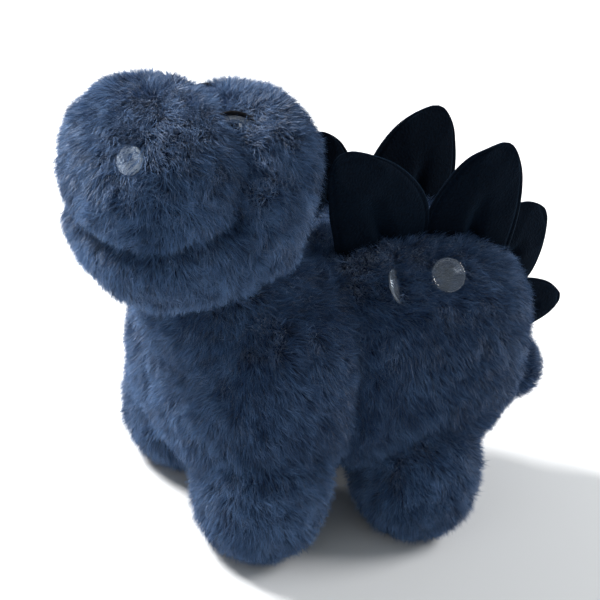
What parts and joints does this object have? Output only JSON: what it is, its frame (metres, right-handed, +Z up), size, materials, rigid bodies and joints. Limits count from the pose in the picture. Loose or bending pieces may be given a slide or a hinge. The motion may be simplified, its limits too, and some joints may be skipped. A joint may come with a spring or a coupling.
{
  "type": "plush stegosaurus",
  "caption": "Stuffed plush stegosaurus standing on short legs, long blue-grey fur, dark velour back plates, embroidered eyes and pale satin nostrils",
  "frame": {"origin": "centre of the bounding box in plan, at the height of the feet", "axes": "+Z up, the toy faces -Y, its left side is +X"},
  "size_m": [0.174, 0.3361, 0.267],
  "materials": {
    "blue_fur": "long pile",
    "fibre_filling": "loose fibre",
    "wadding": "needled sheet",
    "navy_velour": "short pile velour",
    "pale_satin": "satin",
    "eye_embroidery": "satin stitch",
    "clear_plastic": "clear gloss",
    "seam_thread": "thread",
    "label_tape": "woven tape"
  },
  "bodies": {
    "torso": {"back_gusset": "blue_fur", "belly_gusset": "blue_fur", "care_label": "label_tape", "clear_disc_front": "clear_plastic", "clear_disc_rear": "clear_plastic", "closing_seam": "seam_thread", "front_leg_left_inner": "blue_fur", "front_leg_left_outer": "blue_fur", "front_leg_left_stuffing": "fibre_filling", "front_leg_right_inner": "blue_fur", "front_leg_right_outer": "blue_fur", "front_leg_right_stuffing": "fibre_filling", "hind_leg_left_inner": "blue_fur", "hind_leg_left_outer": "blue_fur", "hind_leg_left_stuffing": "fibre_filling", "hind_leg_right_inner": "blue_fur", "hind_leg_right_outer": "blue_fur", "hind_leg_right_stuffing": "fibre_filling", "torso_panel_left": "blue_fur", "torso_panel_right": "blue_fur", "torso_stuffing": "fibre_filling"},
    "neck": {"neck_collar": "blue_fur", "neck_stuffing": "fibre_filling"},
    "head": {"eye_left": "eye_embroidery", "eye_right": "eye_embroidery", "head_gusset": "blue_fur", "head_panel_left": "blue_fur", "head_panel_right": "blue_fur", "head_stuffing": "fibre_filling", "jaw_panel": "blue_fur", "mouth_stitch": "seam_thread", "nostril_left": "pale_satin", "nostril_right": "pale_satin"},
    "tail": {"tail_panel_left": "blue_fur", "tail_panel_right": "blue_fur", "tail_stuffing": "fibre_filling"},
    "plate_1": {"plate_1_face_left": "navy_velour", "plate_1_face_right": "navy_velour", "plate_1_wad": "wadding"},
    "plate_2": {"plate_2_face_left": "navy_velour", "plate_2_face_right": "navy_velour", "plate_2_wad": "wadding"},
    "plate_3": {"plate_3_face_left": "navy_velour", "plate_3_face_right": "navy_velour", "plate_3_wad": "wadding"},
    "plate_4": {"plate_4_face_left": "navy_velour", "plate_4_face_right": "navy_velour", "plate_4_wad": "wadding"},
    "plate_5": {"plate_5_face_left": "navy_velour", "plate_5_face_right": "navy_velour", "plate_5_wad": "wadding"},
    "plate_6": {"plate_6_face_left": "navy_velour", "plate_6_face_right": "navy_velour", "plate_6_wad": "wadding"}
  },
  "joints": [
    {"name": "head_turn", "type": "hinge", "parent": "torso", "child": "neck", "pos_m": [0, -0.066, 0.15], "axis": [0, 0, 1], "range_deg": [-14, 14], "stiffness_Nm_per_rad": 2.5},
    {"name": "head_nod", "type": "hinge", "parent": "neck", "child": "head", "pos_m": [0, -0.066, 0.15], "axis": [1, 0, 0], "range_deg": [-4, 10], "stiffness_Nm_per_rad": 4},
    {"name": "tail_wag", "type": "hinge", "parent": "torso", "child": "tail", "pos_m": [0, 0.12, 0.072], "axis": [0, 0, 1], "range_deg": [-20, 20], "stiffness_Nm_per_rad": 0.5},
    {"name": "plate_1_flop", "type": "hinge", "parent": "torso", "child": "plate_1", "pos_m": [-0.02462, 0.00296, 0.1752], "axis": [0, 0.9392, 0.3434], "range_deg": [-25, 25], "stiffness_Nm_per_rad": 0.06},
    {"name": "plate_2_flop", "type": "hinge", "parent": "torso", "child": "plate_2", "pos_m": [0.02461, 0.01438, 0.17864], "axis": [0, 0.9724, 0.2331], "range_deg": [-25, 25], "stiffness_Nm_per_rad": 0.06},
    {"name": "plate_3_flop", "type": "hinge", "parent": "torso", "child": "plate_3", "pos_m": [-0.02461, 0.06119, 0.17961], "axis": [0, 0.9814, -0.1919], "range_deg": [-25, 25], "stiffness_Nm_per_rad": 0.06},
    {"name": "plate_4_flop", "type": "hinge", "parent": "torso", "child": "plate_4", "pos_m": [0.02462, 0.07424, 0.17618], "axis": [0, 0.9488, -0.3158], "range_deg": [-25, 25], "stiffness_Nm_per_rad": 0.06},
    {"name": "plate_5_flop", "type": "hinge", "parent": "torso", "child": "plate_5", "pos_m": [-0.01218, 0.12185, 0.14244], "axis": [0, 0.5111, -0.8595], "range_deg": [-25, 25], "stiffness_Nm_per_rad": 0.06},
    {"name": "plate_6_flop", "type": "hinge", "parent": "torso", "child": "plate_6", "pos_m": [0.0101, 0.12987, 0.12081], "axis": [0, 0.1547, -0.988], "range_deg": [-25, 25], "stiffness_Nm_per_rad": 0.06}
  ]
}
